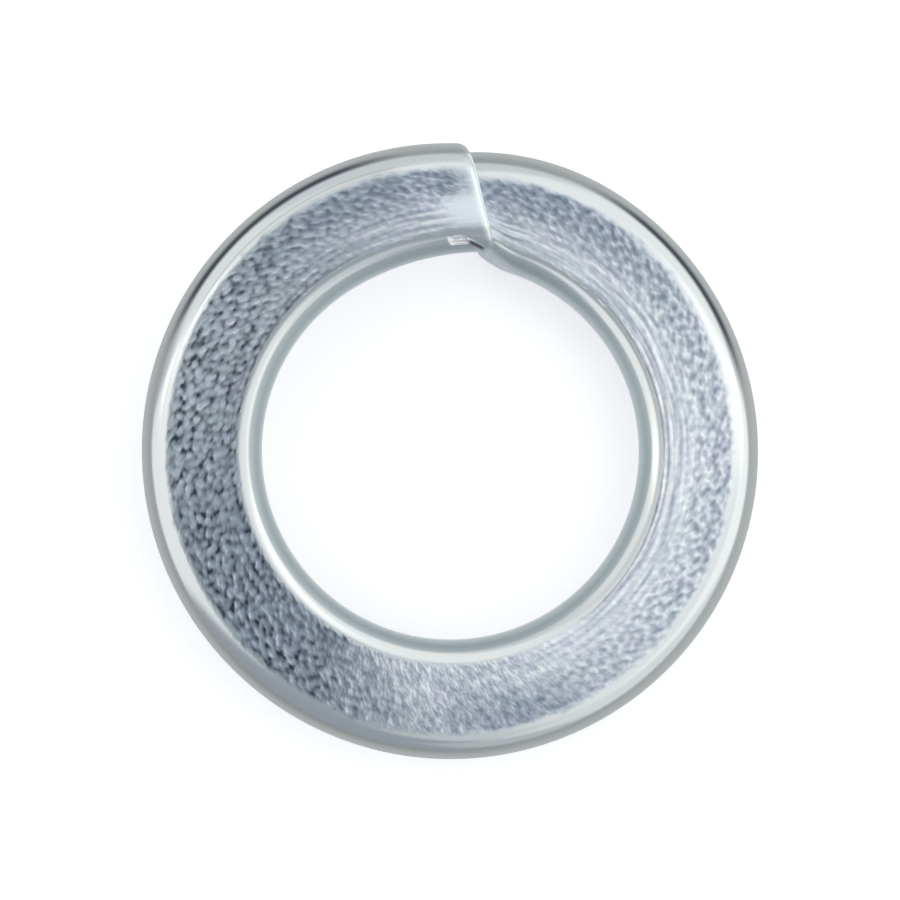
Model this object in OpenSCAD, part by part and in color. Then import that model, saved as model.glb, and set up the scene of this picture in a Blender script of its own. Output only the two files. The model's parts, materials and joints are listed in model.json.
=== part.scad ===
// Split spring lock washer, coiled and cut from one length of rounded flat wire.
// The coil rises clockwise, seen from above, so its two sharp ends slide under a right-hand nut
// as it is tightened, and bite when it turns back.
// Z is the axis of the bore, and the low end rests at z = 0.

/* [Ring] */
// Diameter of the bore, which clears the bolt
bore_d = 12.5; // [12.2:0.05:12.9]
// Width of the section, from the bore to the rim
section_w = 3.9; // [3.8:0.05:4.2]
// Thickness of the section
section_t = 2.5; // [2.35:0.05:2.65]
// Free height, from under the low end to the top of the raised end
free_h = 5; // [5:0.1:5.9]

/* [Wire edges] */
// Radius of the two edges round the bore
bore_round = 0.8; // [0.5:0.05:1]
// Radius of the two edges round the rim
rim_round = 1; // [0.5:0.05:1.1]
// How far the drawn wire bulges past the bore and the rim before both are trued
crown = 0.06; // [0.05:0.01:0.1]

/* [Cut] */
// Direction that the cut runs in, seen from above, anticlockwise from +X
cut_turn = 103.5; // [0:0.5:359.5]
// How far beside the axis the cut passes, at the upper face
cut_offset = 3; // [0:0.1:4]
// Lean of the cut from upright, which gives each end its biting edge
cut_lean = 12; // [0:1:20]
// Radius on the edges of the raised cut face, which the shear rolled over
raised_cut_round = 0.25; // [0.1:0.05:0.4]
// Radius on the edges of the low cut face, which the shear left sharp
low_cut_round = 0.1; // [0.05:0.05:0.4]

/* [Ends] */
// How much longer than one turn the wire is, so that the low end reaches under the raised one
lap_l = 0.2; // [0:0.05:0.3]
// How far the raised end draws back from the bore at its tip
raised_bore_neck = 0.4; // [0:0.05:0.5]
// Length of wire over which it does so
raised_bore_neck_l = 6; // [3:0.5:10]
// How far the raised end draws in from the rim at its tip
raised_rim_neck = 0.08; // [0:0.02:0.4]
// Length of wire over which it does so
raised_rim_neck_l = 12; // [1:0.5:15]
// How far the low end draws back from the bore at its tip
low_bore_neck = 0.35; // [0:0.05:0.5]
// Length of wire over which it does so
low_bore_neck_l = 1.2; // [1:0.1:6]
// How far the low end draws in from the rim at its tip
low_rim_neck = 0.25; // [0:0.05:0.4]
// Length of wire over which it does so
low_rim_neck_l = 4.5; // [1:0.5:6]

/* [Hidden] */

bore_r = bore_d / 2;
rim_r = bore_r + section_w;
// Length of wire in one whole turn, along the middle of the section
turn_l = PI * (bore_r + rim_r);
wire_l = turn_l + lap_l;

// Facets on each rounded edge of the wire and of the cut faces
edge_steps = 6;
cut_edge_steps = 4;
// Length of wire at each end that is divided finely, for the shape of its tip
tip_l = 2;
tip_steps = 7;
coil_steps = 86;
// Facets of the round walls where the bore and the rim are trued
$fn = 180;

// Distances along the wire, from a cut face whose edges have a radius to where its tip is whole
function tip_stations(radius) = concat(
    [for (i = [0 : cut_edge_steps - 1]) radius * (1 - cos(90 * i / cut_edge_steps))],
    [for (i = [0 : tip_steps - 1]) radius + (tip_l - radius) * i / tip_steps]);

// Distances along the wire of every ring of points, from the raised end to the low end
low_tip = tip_stations(low_cut_round);
stations = concat(
    tip_stations(raised_cut_round),
    [for (i = [0 : coil_steps]) tip_l + (wire_l - 2 * tip_l) * i / coil_steps],
    [for (i = [len(low_tip) - 1 : -1 : 0]) wire_l - low_tip[i]]);

// What a side of the wire has lost, at a distance from the tip that it narrows to
function neck(depth, length, distance) = depth * pow(max(0, 1 - distance / length), 2);

// How far the rounded edge of a cut face draws in the whole section, at a distance from it
function cut_inset(radius, distance) = radius - sqrt(pow(radius, 2) - pow(max(0, radius - distance), 2));

// A rounded edge of the wire, as [distance from the axis, height], clockwise from an angle
function wire_edge(centre, radius, start) =
    [for (i = [0 : edge_steps])
        let (a = start - 90 * i / edge_steps)
        centre + radius * [cos(a), sin(a)]];

// The section of the wire at a distance from the raised end and one from the low end
function section(from_raised, from_low) =
    let (bore_side = bore_r - crown
            + neck(raised_bore_neck, raised_bore_neck_l, from_raised)
            + neck(low_bore_neck, low_bore_neck_l, from_low),
        rim_side = rim_r + crown
            - neck(raised_rim_neck, raised_rim_neck_l, from_raised)
            - neck(low_rim_neck, low_rim_neck_l, from_low),
        inset = cut_inset(raised_cut_round, from_raised) + cut_inset(low_cut_round, from_low))
    concat(
        wire_edge([bore_side + bore_round, section_t - bore_round], bore_round - inset, 180),
        wire_edge([rim_side - rim_round, section_t - rim_round], rim_round - inset, 90),
        wire_edge([rim_side - rim_round, rim_round], rim_round - inset, 0),
        wire_edge([bore_side + bore_round, bore_round], bore_round - inset, -90));

// Angle about the axis at which the leaning cut meets a point of the section
function cut_angle(point) =
    cut_turn - asin((cut_offset - (section_t - point[1]) * tan(cut_lean)) / point[0]);

// Turn about the axis from the face of the raised end to a distance along the wire from it
function turn_to(distance) = 360 * distance / turn_l;

// The coil stands on the rim side of the low end, where the rounded edge of its cut begins
foot_point = section(wire_l - low_cut_round, low_cut_round)[3 * edge_steps + 2];
foot_angle = cut_angle(foot_point) + turn_to(wire_l - low_cut_round);

// It is highest at the bore side of the raised end, where the rounded edge of that cut begins
crest_point = section(raised_cut_round, wire_l - raised_cut_round)[edge_steps];
crest_angle = cut_angle(crest_point) + turn_to(raised_cut_round);

// How far the coil has climbed from its foot at an angle about the axis
function climb(angle) = (free_h - section_t) * (foot_angle - angle) / (foot_angle - crest_angle);

// The ring of points where the wire is cut across at a distance from the raised end
function ring(distance) =
    [for (point = section(distance, wire_l - distance))
        let (angle = cut_angle(point) + turn_to(distance))
        [point[0] * cos(angle), point[0] * sin(angle), point[1] + climb(angle)]];

rings = [for (distance = stations) ring(distance)];
ring_n = len(rings[0]);
last = len(rings) - 1;

// Number of a point in the list of all rings, one ring after another
function at(ring_i, point_i) = ring_i * ring_n + point_i % ring_n;

// Mean of a ring of points, where the facets of its cut face meet
function middle(points) = [for (p = points) 1] * points / len(points);

// The wire, coiled through one turn and cut off at both ends
module coiled_wire() {
    points = concat([for (r = rings) each r], [middle(rings[0]), middle(rings[last])]);
    sides = [for (i = [0 : last - 1], j = [0 : ring_n - 1])
        each [[at(i, j), at(i + 1, j), at(i + 1, j + 1)], [at(i, j), at(i + 1, j + 1), at(i, j + 1)]]];
    raised_face = [for (j = [0 : ring_n - 1]) [len(points) - 2, at(0, j), at(0, j + 1)]];
    low_face = [for (j = [0 : ring_n - 1]) [len(points) - 1, at(last, j + 1), at(last, j)]];
    polyhedron(points, concat(sides, raised_face, low_face), convexity = 4);
}

// A round wall through the whole height of the coil
module true_wall(radius) {
    translate([0, 0, -1])
        cylinder(h = free_h + 2, r = radius);
}

module lock_washer() {
    color([0.73, 0.76, 0.78])
        difference() {
            intersection() {
                coiled_wire();
                true_wall(rim_r);
            }
            true_wall(bore_r);
        }
}

lock_washer();
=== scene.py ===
# %% [markdown]
# # A spring lock washer in clear zinc plate
# The real washer is one turn of flat steel wire. Round wire is rolled flat, drawn to size, coiled like a
# spring, sheared off one turn at a time, hardened, and plated with zinc. This lesson follows that order:
# first a straight bar, with every edge rounded while that is still easy, then the coil, then the plate.

# %% The frame
import json
from math import asin, cos, pi, radians, sin, tan

import bmesh
import bpy
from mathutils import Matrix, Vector


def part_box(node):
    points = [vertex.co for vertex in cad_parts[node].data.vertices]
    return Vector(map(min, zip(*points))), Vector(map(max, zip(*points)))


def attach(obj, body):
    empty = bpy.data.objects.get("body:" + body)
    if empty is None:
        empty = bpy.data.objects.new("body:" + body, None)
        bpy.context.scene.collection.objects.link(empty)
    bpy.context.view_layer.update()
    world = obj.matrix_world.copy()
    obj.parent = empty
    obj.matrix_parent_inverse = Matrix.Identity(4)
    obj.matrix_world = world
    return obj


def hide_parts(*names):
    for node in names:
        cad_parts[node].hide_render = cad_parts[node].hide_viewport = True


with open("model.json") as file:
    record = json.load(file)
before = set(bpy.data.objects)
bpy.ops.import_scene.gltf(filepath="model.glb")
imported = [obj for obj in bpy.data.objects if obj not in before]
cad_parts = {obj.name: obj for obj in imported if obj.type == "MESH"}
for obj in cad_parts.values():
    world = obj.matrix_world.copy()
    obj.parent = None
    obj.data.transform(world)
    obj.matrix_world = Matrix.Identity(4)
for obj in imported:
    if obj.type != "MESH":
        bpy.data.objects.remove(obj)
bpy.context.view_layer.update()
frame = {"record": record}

# %% [markdown]
# ## Sizes
# The solid part already has the real size, so what it can give is read from it: the rim from its box, and
# the bore from the hole that the bolt goes through. The rest are the sizes of the wire and of its cut.

# %% Sizes of the wire and of its cut, in metres
mm = 0.001
solid_low, solid_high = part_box("lock_washer")
bolt_hole = next(m for m in frame["record"]["mounts"] if m["name"] == "bore")
bore_r = bolt_hole["dims"]["r_mm"] * mm
rim_r = (solid_high.x - solid_low.x) / 2
free_height = solid_high.z - solid_low.z
wire_w = rim_r - bore_r
wire_t = 2.5 * mm
turn_length = pi * (bore_r + rim_r)
lap = 0.2 * mm                      # how far the low end reaches under the raised one
wire_length = turn_length + lap
bore_round = 0.8 * mm               # radius of the two edges beside the bore
rim_round = 1.0 * mm                # radius of the two edges beside the rim
crown = 0.06 * mm                   # how far the drawn wire bulged before its sides were trued
raised_round = 0.25 * mm            # radius that the shear rolled over the edges of the raised cut face
low_round = 0.1 * mm                # radius on the edges of the low cut face, which stayed sharp
cut_turn = radians(103.5)           # direction of the cut, seen from above
cut_offset = 3 * mm                 # how far beside the axis the cut passes
cut_lean = radians(12)              # its lean from upright
flat_ring = 0.08 * mm               # width of the ring that keeps each cut face flat
drag_depth = 0.055 * mm             # how far the blade dragged the rim side of the raised tip down
# Each neck is how much a side of the wire narrows at its tip, and the length of wire over which it does so
raised_bore_neck = (0.4 * mm, 6 * mm)
raised_rim_neck = (0.08 * mm, 12 * mm)
low_bore_neck = (0.35 * mm, 1.2 * mm)
low_rim_neck = (0.25 * mm, 4.5 * mm)
print(f"wire {wire_w / mm:.2f} x {wire_t / mm:.2f} mm, {wire_length / mm:.1f} mm long")

# %% [markdown]
# ## The straight wire
# A coil with rounded edges is awkward to bevel, but a bar is not. So the section is drawn as one face, its
# four corners are rounded, and it is pulled out to the length of the wire. Drawing leaves the sides of real
# wire slightly crowned, and here truing them to the bore and the rim leaves them upright in the middle.

# %% The section of the wire
grid = 0.12 * mm                    # width of a quad, fine enough for a clean highlight
weld = 0.002 * mm                   # points nearer than this are one
section_bar = bmesh.new()
corners = [section_bar.verts.new((0, y, z)) for y, z in
           ((-crown, 0), (wire_w + crown, 0), (wire_w + crown, wire_t), (-crown, wire_t))]
section_bar.faces.new(corners)
for at_rim, size in ((False, bore_round), (True, rim_round)):
    pair = [v for v in section_bar.verts if v.co.y < 0] if not at_rim else \
           [v for v in section_bar.verts if v.co.y > wire_w]
    bmesh.ops.bevel(section_bar, geom=pair, offset=size, offset_type="OFFSET", segments=12,
                    profile=0.5, affect="VERTICES", material=-1)
for v in section_bar.verts:
    v.co.y = min(max(v.co.y, 0), wire_w)
bmesh.ops.remove_doubles(section_bar, verts=section_bar.verts, dist=weld)
for edge in list(section_bar.edges):
    cuts = round(edge.calc_length() / grid) - 1
    if cuts > 0:
        bmesh.ops.subdivide_edges(section_bar, edges=[edge], cuts=cuts)
section_face = section_bar.faces[:][0]
print("points round the section:", len(section_face.verts))

# %% [markdown]
# ## The two cut faces
# A shear rolls over the edge that its blade meets first, and leaves the far one sharp. The raised end
# shows the rolled edge. The face of each cut gets a bevel of its own radius, and a narrow ring inside it
# that keeps the flat of the face flat when it is shaded smooth.

# %% Pull the section out, and round the edges of its two cut faces
bar = section_bar
pulled = bmesh.ops.extrude_face_region(bar, geom=[section_face])
far_end = [v for v in pulled["geom"] if isinstance(v, bmesh.types.BMVert)]
bmesh.ops.translate(bar, verts=far_end, vec=(wire_length, 0, 0))
bmesh.ops.recalc_face_normals(bar, faces=bar.faces)
for side, size, steps in ((-1, raised_round, 6), (1, low_round, 4)):
    cut_face = next(f for f in bar.faces if f.normal.x * side > 0.9)
    bmesh.ops.bevel(bar, geom=list(cut_face.edges), offset=size, offset_type="OFFSET", segments=steps,
                    profile=0.5, affect="EDGES", clamp_overlap=False, material=-1)
    cut_face = next(f for f in bar.faces if f.normal.x * side > 0.9999 and len(f.verts) > 8)
    bmesh.ops.inset_region(bar, faces=[cut_face], thickness=flat_ring, use_even_offset=True)
long_edges = [e for e in bar.edges if e.calc_length() > wire_length / 2]
bmesh.ops.subdivide_edges(bar, edges=long_edges, cuts=round(wire_length / grid), use_grid_fill=True)
print("straight wire:", len(bar.verts), "points,", len(bar.faces), "faces")

# %% [markdown]
# ## The drawn-down tip
# The blade dragged the rim side of the raised tip down by a few hundredths of a millimetre as it let go. A
# bright face shows even that small slope. It is made on the straight bar, where a place is simply a length,
# a width and a height.

# %% Drag the rim side of the raised tip down


def ease(value, start, end):
    """0 at the start, 1 at the end, and smooth between them."""
    t = min(max((value - start) / (end - start), 0), 1)
    return t * t * (3 - 2 * t)


deepest = 0
for v in bar.verts:
    along, across, height = v.co
    dragged = drag_depth * ease(across, 0.9 * mm, 2.1 * mm) * (1 - ease(along, 1.0 * mm, 2.6 * mm))
    dragged *= ease(height, wire_t / 2, 0.9 * wire_t)
    v.co.z -= dragged
    deepest = max(deepest, dragged)
print(f"tip dragged down by {deepest / mm:.3f} mm")

# %% [markdown]
# ## Coiling
# Coiling moves every point of the bar by one rule. How far along the wire it is becomes a turn about the
# axis and a climb, and how far across it is becomes a distance from the axis. The cut slants and leans, so
# each point also swings to where the cut meets its radius and height. Near its tips the wire is narrower,
# because the shear drew it in.

# %% The rule of the coil


def neck(depth, length, distance):
    """What a side of the wire has lost, at a distance from the tip that it narrows to."""
    return depth * max(0, 1 - distance / length) ** 2


def cut_angle(radius, height):
    """Angle about the axis at which the leaning cut meets a place on the section."""
    return cut_turn - asin((cut_offset - (wire_t - height) * tan(cut_lean)) / radius)


def radius_of(along, across):
    """Distance from the axis of a place on the wire."""
    from_low = wire_length - along
    at_bore = neck(*raised_bore_neck, along) + neck(*low_bore_neck, from_low)
    at_rim = neck(*raised_rim_neck, along) + neck(*low_rim_neck, from_low)
    share = (across - bore_round) / (wire_w - bore_round - rim_round)
    share = min(max(share, 0), 1)
    return bore_r + across + at_bore * (1 - share) - at_rim * share


def turn_to(along):
    """Turn about the axis from the raised end to a length along the wire."""
    return 2 * pi * along / turn_length


foot_along = wire_length - low_round
foot_angle = cut_angle(radius_of(foot_along, wire_w + crown - rim_round), 0) + turn_to(foot_along)
crest_angle = cut_angle(radius_of(raised_round, bore_round - crown), wire_t) + turn_to(raised_round)
climb = (free_height - wire_t) / (foot_angle - crest_angle)


def coiled(place):
    """Where a place on the straight bar goes."""
    radius = radius_of(place.x, place.y)
    angle = cut_angle(radius, place.z) + turn_to(place.x)
    return Vector((radius * cos(angle), radius * sin(angle), place.z + climb * (foot_angle - angle)))


print(f"climb in one turn: {2 * pi * climb / mm:.3f} mm")

# %% Coil the bar, and keep the straight place of every point for the finish to follow
wire_place = bar.verts.layers.float_vector.new("wire_place")
for v in bar.verts:
    v[wire_place] = v.co / mm
    v.co = coiled(v.co)
for f in bar.faces:
    f.smooth = True
coil_mesh = bpy.data.meshes.new("coiled_wire")
bar.to_mesh(coil_mesh)
bar.free()
washer = bpy.data.objects.new("coiled_wire", coil_mesh)
bpy.context.scene.collection.objects.link(washer)
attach(washer, "root")
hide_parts("lock_washer")
triangle_count = sum(len(f.vertices) - 2 for f in coil_mesh.polygons)
print("washer:", len(coil_mesh.vertices), "points,", triangle_count, "triangles")

# %% [markdown]
# ## Colours and nodes
# Colours are written as the eye names them, in sRGB hex, and one function turns them into the linear
# values that light is reckoned in. One more function adds a node with its settings and its links.

# %% Two helpers for materials


def linear(hex_colour):
    """An sRGB hex colour as linear red, green, blue and alpha."""
    parts = [int(hex_colour[i:i + 2], 16) / 255 for i in (1, 3, 5)]
    return [c / 12.92 if c <= 0.04045 else ((c + 0.055) / 1.055) ** 2.4 for c in parts] + [1.0]


def add(tree, kind, settings=None, **inputs):
    """Adds a node. An input is a value or a socket to link from, and _0 is the first input."""
    node = tree.nodes.new(kind)
    for name, value in (settings or {}).items():
        setattr(node, name, value)
    for name, value in inputs.items():
        key = int(name[1:]) if name[0] == "_" else name.replace("_", " ")
        if isinstance(value, bpy.types.NodeSocket):
            tree.links.new(value, node.inputs[key])
        else:
            node.inputs[key].default_value = value
    return node


# %% [markdown]
# ## Clear zinc plate on drawn wire
# Zinc plate is thin and bright, so what shows is the steel under it. The rolled faces are mottled with
# grains and pits about a fifth of a millimetre across. Coiling squeezed the inner half and streaked it
# along the wire, and it stretched the outer half, which is duller. The rounded edges are smooth. The drawn
# sides are duller, and their grey is also a painted reflection, darker than the white floor they mirror.
# A pattern on Object coordinates would cut across all this, so the pattern
# is read from wire_place, the place in millimetres that each point had on the straight bar.

# %% Zinc plate: where each surface of the wire is
zinc = bpy.data.materials.new("clear_zinc_on_drawn_wire")
zinc.use_nodes = True
tree = zinc.node_tree
tree.nodes.clear()
smooth = {"interpolation_type": "SMOOTHSTEP"}
colours = {"data_type": "RGBA"}
darkened = {"data_type": "RGBA", "blend_type": "MULTIPLY"}
times = {"operation": "MULTIPLY"}
less = {"operation": "SUBTRACT"}
place = add(tree, "ShaderNodeAttribute", {"attribute_name": "wire_place"}).outputs["Vector"]
axes = add(tree, "ShaderNodeSeparateXYZ", Vector=place)
along = axes.outputs[0]
drift_place = add(tree, "ShaderNodeVectorMath", times, _0=place, _1=(0.5, 1, 1))
drift = add(tree, "ShaderNodeTexNoise", Vector=drift_place.outputs[0], Scale=4.0, Detail=2.0)
sway = add(tree, "ShaderNodeMapRange", Value=drift.outputs["Fac"], To_Min=-0.2, To_Max=0.2)
across = add(tree, "ShaderNodeMath", {"operation": "ADD"}, _0=axes.outputs[1], _1=sway.outputs[0]).outputs[0]
off_bore = add(tree, "ShaderNodeMapRange", smooth, Value=across, From_Min=0.70, From_Max=0.82)
off_rim = add(tree, "ShaderNodeMapRange", smooth, Value=across, From_Min=3.16, From_Max=2.88)
flat = add(tree, "ShaderNodeMath", times, _0=off_bore.outputs[0], _1=off_rim.outputs[0])
smear = add(tree, "ShaderNodeMapRange", smooth, Value=across, From_Min=2.3, From_Max=1.5, To_Min=0.3,
            To_Max=1.2)
past_smear = add(tree, "ShaderNodeMath", less, _0=along, _1=smear.outputs[0])
past_smear = add(tree, "ShaderNodeMapRange", smooth, Value=past_smear.outputs[0], From_Min=-0.3, From_Max=0.9)
off_low_cut = add(tree, "ShaderNodeMapRange", smooth, Value=along, From_Min=wire_length / mm - 0.03,
                  From_Max=wire_length / mm - 0.1)
rolled = add(tree, "ShaderNodeMath", times, _0=flat.outputs[0], _1=past_smear.outputs[0])
rolled = add(tree, "ShaderNodeMath", times, _0=rolled.outputs[0], _1=off_low_cut.outputs[0])
in_bore = add(tree, "ShaderNodeMapRange", smooth, Value=axes.outputs[1], From_Min=0.42, From_Max=0.32)
at_rim = add(tree, "ShaderNodeMapRange", smooth, Value=axes.outputs[1], From_Min=3.50, From_Max=3.60)

# %% [markdown]
# The grains of rolled steel are all of about one size, but plain noise has broad patches in it too. So the
# noise is also read a tenth of a millimetre to each side, and half of that average is taken away, which
# leaves mostly grains. The streaks are made so too, from noise drawn out ten times along the wire.
#
# Nothing on a wire is even for long. One stretch of it, up to 22 mm from the raised end, is pitted more
# heavily, and past it the rolls chattered and left fine ripples across the wire. In that stretch the pits
# are painted dark as painted shade, and the tops between them nearly white as painted highlight. The
# colour is painted darker still, as painted shade, over part of that stretch, for a few millimetres past
# it, and on the outer halves of both ends, where the ring reflects less light.

# %% Zinc plate: grain, streaks and pits


def evened(stretch, scale, detail, steps):
    """Noise with its broad patches weakened. It is read over the steps, in mm of the stretched wire."""
    spot = add(tree, "ShaderNodeVectorMath", times, _0=place, _1=stretch)
    kept = add(tree, "ShaderNodeTexNoise", Vector=spot.outputs[0], Scale=scale, Detail=detail)
    kept = add(tree, "ShaderNodeMath", {"operation": "ADD"}, _0=kept.outputs["Fac"], _1=0.25)
    for step in steps:
        beside = add(tree, "ShaderNodeVectorMath", {"operation": "ADD"}, _0=spot.outputs[0], _1=step)
        beside = add(tree, "ShaderNodeTexNoise", Vector=beside.outputs[0], Scale=scale, Detail=detail)
        kept = add(tree, "ShaderNodeMath", {"operation": "MULTIPLY_ADD"}, _0=beside.outputs["Fac"],
                   _1=-0.5 / len(steps), _2=kept.outputs[0])
    return kept.outputs[0]


grain = evened((0.88, 1, 1), 4.3, 0.7, ((0.13, 0, 0), (-0.13, 0, 0), (0, 0.12, 0), (0, -0.12, 0)))
streak = evened((0.1, 1, 1), 4.9, 1.0, ((0, 0.11, 0), (0, -0.11, 0)))
reach_pits = add(tree, "ShaderNodeMapRange", smooth, Value=along, From_Min=2.0, From_Max=11.0)
leave_pits = add(tree, "ShaderNodeMapRange", smooth, Value=along, From_Min=26.0, From_Max=22.0)
heavy = add(tree, "ShaderNodeMath", times, _0=reach_pits.outputs[0], _1=leave_pits.outputs[0]).outputs[0]
squeezed = add(tree, "ShaderNodeMapRange", smooth, Value=across, From_Min=2.3, From_Max=1.2, To_Min=0.08,
               To_Max=0.74)
less_streaked = add(tree, "ShaderNodeMapRange", Value=heavy, To_Min=1.0, To_Max=0.45)
squeezed = add(tree, "ShaderNodeMath", times, _0=squeezed.outputs[0], _1=less_streaked.outputs[0])
mottle = add(tree, "ShaderNodeMix", _0=squeezed.outputs[0], _2=grain, _3=streak)
chatter_place = add(tree, "ShaderNodeVectorMath", times, _0=place, _1=(1.45, 1, 1))
chatter = add(tree, "ShaderNodeTexNoise", Vector=chatter_place.outputs[0], Scale=3.4, Detail=1.2)
reach_chatter = add(tree, "ShaderNodeMapRange", smooth, Value=along, From_Min=20.0, From_Max=25.0, To_Max=0.7)
leave_chatter = add(tree, "ShaderNodeMapRange", smooth, Value=along, From_Min=35.0, From_Max=28.0)
chattered = add(tree, "ShaderNodeMath", times, _0=reach_chatter.outputs[0], _1=leave_chatter.outputs[0])
mottle = add(tree, "ShaderNodeMix", _0=chattered.outputs[0], _2=mottle.outputs[0], _3=chatter.outputs["Fac"])
relief = add(tree, "ShaderNodeMath", less, _0=mottle.outputs[0], _1=0.5)
relief = add(tree, "ShaderNodeMath", times, _0=relief.outputs[0], _1=rolled.outputs[0])
depth = add(tree, "ShaderNodeMapRange", Value=heavy, To_Min=0.8, To_Max=1.1)
relief = add(tree, "ShaderNodeMath", times, _0=relief.outputs[0], _1=depth.outputs[0])
peaks = add(tree, "ShaderNodeMapRange", Value=mottle.outputs[0], From_Min=0.30, From_Max=0.67)
deep_peaks = add(tree, "ShaderNodeMapRange", Value=mottle.outputs[0], From_Min=0.32, From_Max=0.66)

# %% Zinc plate: colour of the rolled faces
light_face = add(tree, "ShaderNodeMix", colours, _0=peaks.outputs[0], _6=linear("#A7B0BD"),
                 _7=linear("#F8FAFB"))
dull_face = add(tree, "ShaderNodeMix", colours, _0=peaks.outputs[0], _6=linear("#929CA9"),
                _7=linear("#E6EAEE"))
# Painted shade and highlight: in the heavily pitted stretch the pits are painted dark blue-grey and the tops
# between them nearly white.
pitted_face_painted_shade = add(tree, "ShaderNodeMix", colours, _0=deep_peaks.outputs[0], _6=linear("#48515C"),
                  _7=linear("#EFF5FA"))
half = add(tree, "ShaderNodeMapRange", smooth, Value=across, From_Min=1.5, From_Max=2.6)
face = add(tree, "ShaderNodeMix", colours, _0=half.outputs[0], _6=light_face.outputs[2],
           _7=dull_face.outputs[2])
face = add(tree, "ShaderNodeMix", colours, _0=heavy, _6=face.outputs[2], _7=pitted_face_painted_shade.outputs[2])
outer = add(tree, "ShaderNodeMapRange", smooth, Value=across, From_Min=1.0, From_Max=2.6)
# A stretch of painted shade is where it starts, is full, starts to fade and ends, in mm along the wire,
# and then its share beside the bore and its greatest strength
painted_shade = 0.0
for reach, full, fade, leave, at_bore, most in ((10.0, 20.0, 21.5, 27.0, 1.0, 0.9),
                                                (-2.0, 0.0, 1.0, 14.0, 0.1, 0.9),
                                                (40.0, 50.0, 53.0, 54.0, 0.1, 0.9),
                                                (25.5, 28.0, 29.0, 32.0, 0.2, 0.8)):
    rises = add(tree, "ShaderNodeMapRange", smooth, Value=along, From_Min=reach, From_Max=full)
    falls = add(tree, "ShaderNodeMapRange", smooth, Value=along, From_Min=leave, From_Max=fade, To_Max=most)
    share = add(tree, "ShaderNodeMapRange", Value=outer.outputs[0], To_Min=at_bore)
    part = add(tree, "ShaderNodeMath", times, _0=rises.outputs[0], _1=falls.outputs[0])
    part = add(tree, "ShaderNodeMath", times, _0=part.outputs[0], _1=share.outputs[0])
    painted_shade = add(tree, "ShaderNodeMath", {"operation": "MAXIMUM"}, _0=painted_shade, _1=part.outputs[0]).outputs[0]
# Painted shade: the face colour is multiplied darker over these stretches.
face = add(tree, "ShaderNodeMix", darkened, _0=painted_shade, _6=face.outputs[2], _7=linear("#CBD1D9"))
tint = add(tree, "ShaderNodeTexNoise", Vector=place, Scale=0.8, Detail=1.0)
tint = add(tree, "ShaderNodeMapRange", Value=tint.outputs["Fac"], From_Min=0.35, From_Max=0.65)
tint = add(tree, "ShaderNodeMix", colours, _0=tint.outputs[0], _6=linear("#FDFBFF"), _7=linear("#FBFFFD"))
face = add(tree, "ShaderNodeMix", darkened, _0=1.0, _6=face.outputs[2], _7=tint.outputs[2])
sheared = add(tree, "ShaderNodeMix", colours, _0=flat.outputs[0], _6=linear("#D6DAD9"), _7=linear("#E6EDF1"))
colour = add(tree, "ShaderNodeMix", colours, _0=rolled.outputs[0], _6=sheared.outputs[2], _7=face.outputs[2])
# The bore side and the rim side are painted a darker grey: partly their duller drawn finish, partly painted
# reflection, darker than the white floor that they mirror.
colour = add(tree, "ShaderNodeMix", colours, _0=in_bore.outputs[0], _6=colour.outputs[2],
             _7=linear("#B4BDBF"))
colour = add(tree, "ShaderNodeMix", colours, _0=at_rim.outputs[0], _6=colour.outputs[2], _7=linear("#A9ADAB"))

# %% [markdown]
# The die leaves lines that run dead straight along the wire. The two strong lines at 3.60 mm on the rim
# edge are not die lines but painted reflection, dark bands painted into the colour. Each is given by its
# place across the wire, its width, the stretch it is seen on, and how strongly it shows. All are in
# millimetres but the last.

# %% Zinc plate: drawing lines, and two painted dark reflections
# The two lines at 3.60 mm are painted reflection, dark bands on the rim edge; the others are die lines.
for where, width, start, end, strength in ((3.60, 0.15, 1.5, 11.0, 0.95), (3.60, 0.15, 40.5, 48.5, 0.95),
                                           (3.22, 0.06, 0.5, 14.0, 0.22), (0.77, 0.06, 32.0, 49.0, 0.42),
                                           (0.93, 0.05, 35.0, 46.0, 0.32), (1.10, 0.05, 37.0, 47.0, 0.24),
                                           (0.80, 0.06, 4.0, 14.0, 0.40), (0.97, 0.05, 6.0, 16.0, 0.32)):
    off_line = add(tree, "ShaderNodeMath", less, _0=axes.outputs[1], _1=where)
    off_line = add(tree, "ShaderNodeMath", {"operation": "ABSOLUTE"}, _0=off_line.outputs[0])
    line = add(tree, "ShaderNodeMapRange", smooth, Value=off_line.outputs[0], From_Min=width, From_Max=0.0,
               To_Max=strength)
    begins = add(tree, "ShaderNodeMapRange", smooth, Value=along, From_Min=start, From_Max=start + 2.5)
    ends = add(tree, "ShaderNodeMapRange", smooth, Value=along, From_Min=end, From_Max=end - 2.5)
    for limit in (begins, ends):
        line = add(tree, "ShaderNodeMath", times, _0=line.outputs[0], _1=limit.outputs[0])
    colour = add(tree, "ShaderNodeMix", colours, _0=line.outputs[0], _6=colour.outputs[2],
                 _7=linear("#3C414D"))

# %% [markdown]
# As the blade let go it tore a nick in the rounded edge beside the bore, and pushed up a small lip at the
# end of it. The nick is painted dark, as painted shade in its groove, and the lip is painted white, as a
# painted highlight. Seen from its start, one axis runs down the nick and the other runs across it.

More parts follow.
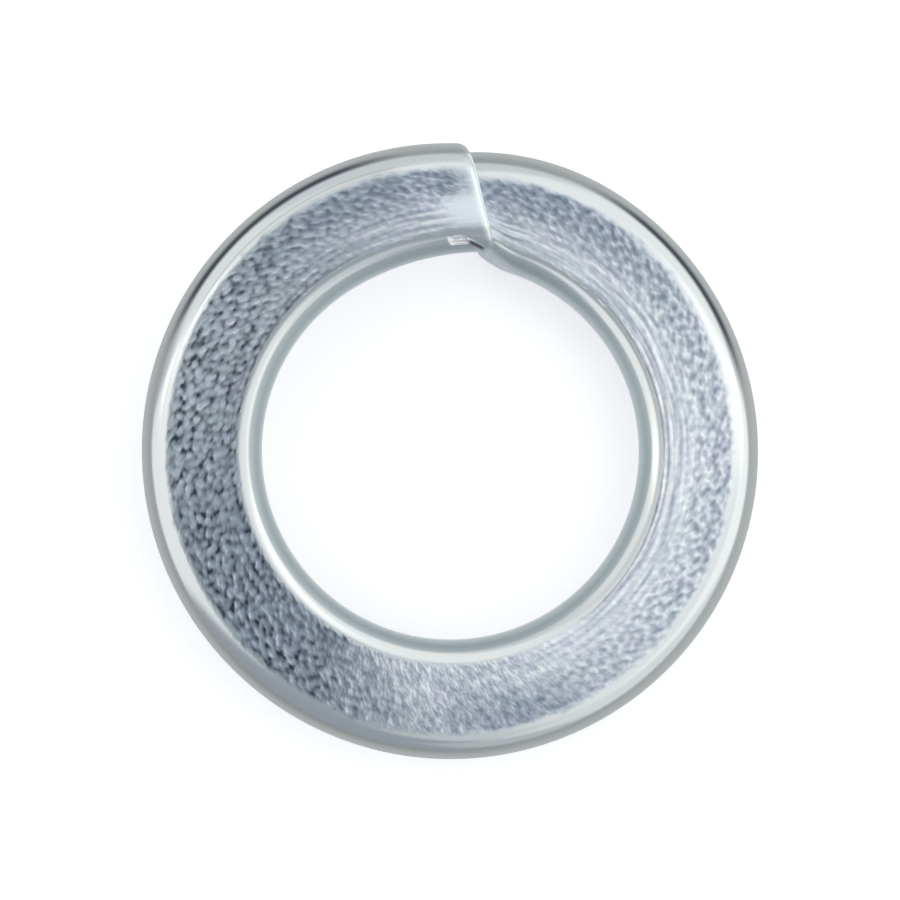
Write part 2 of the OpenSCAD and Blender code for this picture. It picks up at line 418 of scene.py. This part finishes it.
# %% Zinc plate: the nick beside the bore at the raised tip
nick_start = Vector((0.45, 0.08, 0))
nick_way = (Vector((1.55, 0.56, 0)) - nick_start).normalized()
from_start = add(tree, "ShaderNodeVectorMath", less, _0=place, _1=nick_start)
down_nick = add(tree, "ShaderNodeVectorMath", {"operation": "DOT_PRODUCT"}, _0=from_start.outputs[0],
                _1=nick_way)
over_nick = add(tree, "ShaderNodeVectorMath", {"operation": "DOT_PRODUCT"}, _0=from_start.outputs[0],
                _1=(-nick_way.y, nick_way.x, 0))
over_nick = add(tree, "ShaderNodeMath", {"operation": "ABSOLUTE"}, _0=over_nick.outputs["Value"])
nick = add(tree, "ShaderNodeMapRange", smooth, Value=over_nick.outputs[0], From_Min=0.11, From_Max=0.02)
nick_in = add(tree, "ShaderNodeMapRange", smooth, Value=down_nick.outputs["Value"], From_Min=-0.1,
              From_Max=0.15)
nick_out = add(tree, "ShaderNodeMapRange", smooth, Value=down_nick.outputs["Value"], From_Min=1.05,
               From_Max=0.55)
upper = add(tree, "ShaderNodeMath", {"operation": "GREATER_THAN"}, _0=axes.outputs[2], _1=1.25)
for limit in (nick_in, nick_out, upper):
    nick = add(tree, "ShaderNodeMath", times, _0=nick.outputs[0], _1=limit.outputs[0])
# Painted shade: the nick is painted dark.
nick_painted_shade = add(tree, "ShaderNodeMath", times, _0=nick.outputs[0], _1=0.85)
colour = add(tree, "ShaderNodeMix", colours, _0=nick_painted_shade.outputs[0], _6=colour.outputs[2], _7=linear("#4E4550"))
lip_rise = add(tree, "ShaderNodeMapRange", Value=axes.outputs[1], From_Min=0.56, From_Max=0.34)
lip_fall = add(tree, "ShaderNodeMapRange", smooth, Value=axes.outputs[1], From_Min=0.24, From_Max=0.34)
lip_start = add(tree, "ShaderNodeMapRange", smooth, Value=along, From_Min=0.95, From_Max=1.25)
lip_end = add(tree, "ShaderNodeMapRange", smooth, Value=along, From_Min=1.9, From_Max=1.6)
lip = lip_rise
for limit in (lip_fall, lip_start, lip_end, upper):
    lip = add(tree, "ShaderNodeMath", times, _0=lip.outputs[0], _1=limit.outputs[0])
# Painted highlight: the lip is painted white.
lip_painted_highlight = add(tree, "ShaderNodeMapRange", Value=lip.outputs[0], From_Max=0.35)
colour = add(tree, "ShaderNodeMix", colours, _0=lip_painted_highlight.outputs[0], _6=colour.outputs[2],
             _7=linear("#FFFFFF"))

# %% Zinc plate: shine and relief
rough_face = add(tree, "ShaderNodeMapRange", Value=peaks.outputs[0], To_Min=0.30, To_Max=0.20)
rubbed = add(tree, "ShaderNodeMapRange", smooth, Value=along, From_Min=0.15, From_Max=0.5, To_Min=0.36,
             To_Max=0.18)
rough = add(tree, "ShaderNodeMix", _0=rolled.outputs[0], _2=rubbed.outputs[0], _3=rough_face.outputs[0])
side = add(tree, "ShaderNodeMath", {"operation": "ADD"}, _0=in_bore.outputs[0], _1=at_rim.outputs[0])
rough = add(tree, "ShaderNodeMix", _0=side.outputs[0], _2=rough.outputs[0], _3=0.48)
line_place = add(tree, "ShaderNodeVectorMath", times, _0=place, _1=(0.03, 1, 1))
lines = add(tree, "ShaderNodeTexNoise", Vector=line_place.outputs[0], Scale=5.0, Detail=2.0)
for height, weight in ((lines.outputs["Fac"], 0.15), (nick.outputs[0], -1.6), (lip.outputs[0], 6.0)):
    relief = add(tree, "ShaderNodeMath", {"operation": "MULTIPLY_ADD"}, _0=height, _1=weight,
                 _2=relief.outputs[0])
relief_height = 0.026 * mm
bump = add(tree, "ShaderNodeBump", Strength=1.0, Distance=relief_height, Height=relief.outputs[0])
plate = add(tree, "ShaderNodeBsdfPrincipled", Base_Color=colour.outputs[2], Metallic=1.0,
            Roughness=rough.outputs[0], Normal=bump.outputs["Normal"])
add(tree, "ShaderNodeOutputMaterial", Surface=plate.outputs["BSDF"])
washer.data.materials.append(zinc)
print("nodes in the zinc plate:", len(tree.nodes))

# %% [markdown]
# ## Camera
# The photograph looks straight down. How much larger its raised end looks than its low end gives only the
# ratio of free height to distance. With a free height of 5 mm, which is a guess from common practice, the
# lens was about 180 mm off, so a long lens does the rest.

# %% Camera
camera_height = 180 * mm
pixels_per_metre = 29.86 / mm       # at the level of the floor, in a picture 900 pixels wide
camera = bpy.data.objects.new("camera", bpy.data.cameras.new("camera"))
bpy.context.scene.collection.objects.link(camera)
one_pixel = 1 / pixels_per_metre    # the photograph is centred one pixel left of and above the axis
camera.location = (-one_pixel, one_pixel, camera_height)
camera.data.sensor_width = 36
camera.data.lens = 36 * camera_height * pixels_per_metre / 900
camera.data.clip_start = 0.01
bpy.context.scene.camera = camera
print(f"lens {camera.data.lens:.0f} mm")

# %% [markdown]
# ## Floor and lamps
# A bright metal shows its surroundings more than its own colour. So the floor is pale paper, lifted to
# white for the camera and for reflections alike, and it keeps the shadow. A ring of soft lamps stands
# round the camera, and the gaps between them draw dark lines along the rounded edges; two of those on
# the rim edge are painted darker still, as painted reflection.

# %% The floor
floor_half = 0.4                    # metres from its middle to its edge
floor_glow = 0.42                   # lifts the paper to white without drowning the shadow
floor_mesh = bpy.data.meshes.new("floor")
floor_bm = bmesh.new()
bmesh.ops.create_grid(floor_bm, x_segments=1, y_segments=1, size=floor_half)
floor_bm.to_mesh(floor_mesh)
floor_bm.free()
floor = bpy.data.objects.new("floor", floor_mesh)
bpy.context.scene.collection.objects.link(floor)
paper = bpy.data.materials.new("white_paper")
paper.use_nodes = True
tree = paper.node_tree
tree.nodes.clear()
ray = add(tree, "ShaderNodeLightPath")
shown = add(tree, "ShaderNodeMath", {"operation": "ADD"}, _0=ray.outputs["Is Camera Ray"],
            _1=ray.outputs["Is Glossy Ray"])
shown = add(tree, "ShaderNodeMath", {"operation": "ADD"}, _0=shown.outputs[0],
            _1=ray.outputs["Is Transmission Ray"])
lift = add(tree, "ShaderNodeMath", times, _0=shown.outputs[0], _1=floor_glow)
sheet = add(tree, "ShaderNodeBsdfDiffuse", Color=linear("#EDEDED"))
glow = add(tree, "ShaderNodeEmission", Color=linear("#FFFFFF"), Strength=lift.outputs[0])
lit = add(tree, "ShaderNodeAddShader", _0=sheet.outputs[0], _1=glow.outputs[0])
add(tree, "ShaderNodeOutputMaterial", Surface=lit.outputs[0])
floor.data.materials.append(paper)

# %% The lamps and the room
lamp_distance = 0.3                 # metres from the washer


def softbox(name, azimuth, from_vertical, width, height, brightness):
    """A soft lamp that faces the washer. In a perfect mirror, a brightness of 1 shows white."""
    turn, lean = radians(azimuth), radians(from_vertical)
    lamp = bpy.data.lights.new(name, "AREA")
    lamp.shape = "RECTANGLE"
    lamp.size = width
    lamp.size_y = height
    lamp.energy = brightness * pi * width * height
    lamp.color = (1.03, 1.0, 0.95)
    box = bpy.data.objects.new(name, lamp)
    bpy.context.scene.collection.objects.link(box)
    box.location = Vector((cos(turn) * sin(lean), sin(turn) * sin(lean), cos(lean))) * lamp_distance
    box.rotation_euler = box.location.to_track_quat("Z", "Y").to_euler()


softbox("back", 89, 38, 0.87, 0.41, 0.40)
softbox("right", 22, 40.5, 0.50, 0.47, 0.32)
softbox("low_right", 338, 47, 0.44, 0.47, 0.33)
softbox("front_right", 325, 58, 0.60, 0.24, 0.20)
softbox("left", 193, 46, 0.20, 0.34, 0.70)
softbox("back_left", 152, 50, 0.20, 0.30, 0.20)
room = bpy.data.worlds.new("grey_room")
room.use_nodes = True
room.node_tree.nodes["Background"].inputs["Color"].default_value = (0.89, 0.98, 1.09, 1)
room.node_tree.nodes["Background"].inputs["Strength"].default_value = 0.44
bpy.context.scene.world = room
bpy.context.scene.view_settings.view_transform = "Standard"

# %% Finish
bpy.context.view_layer.update()
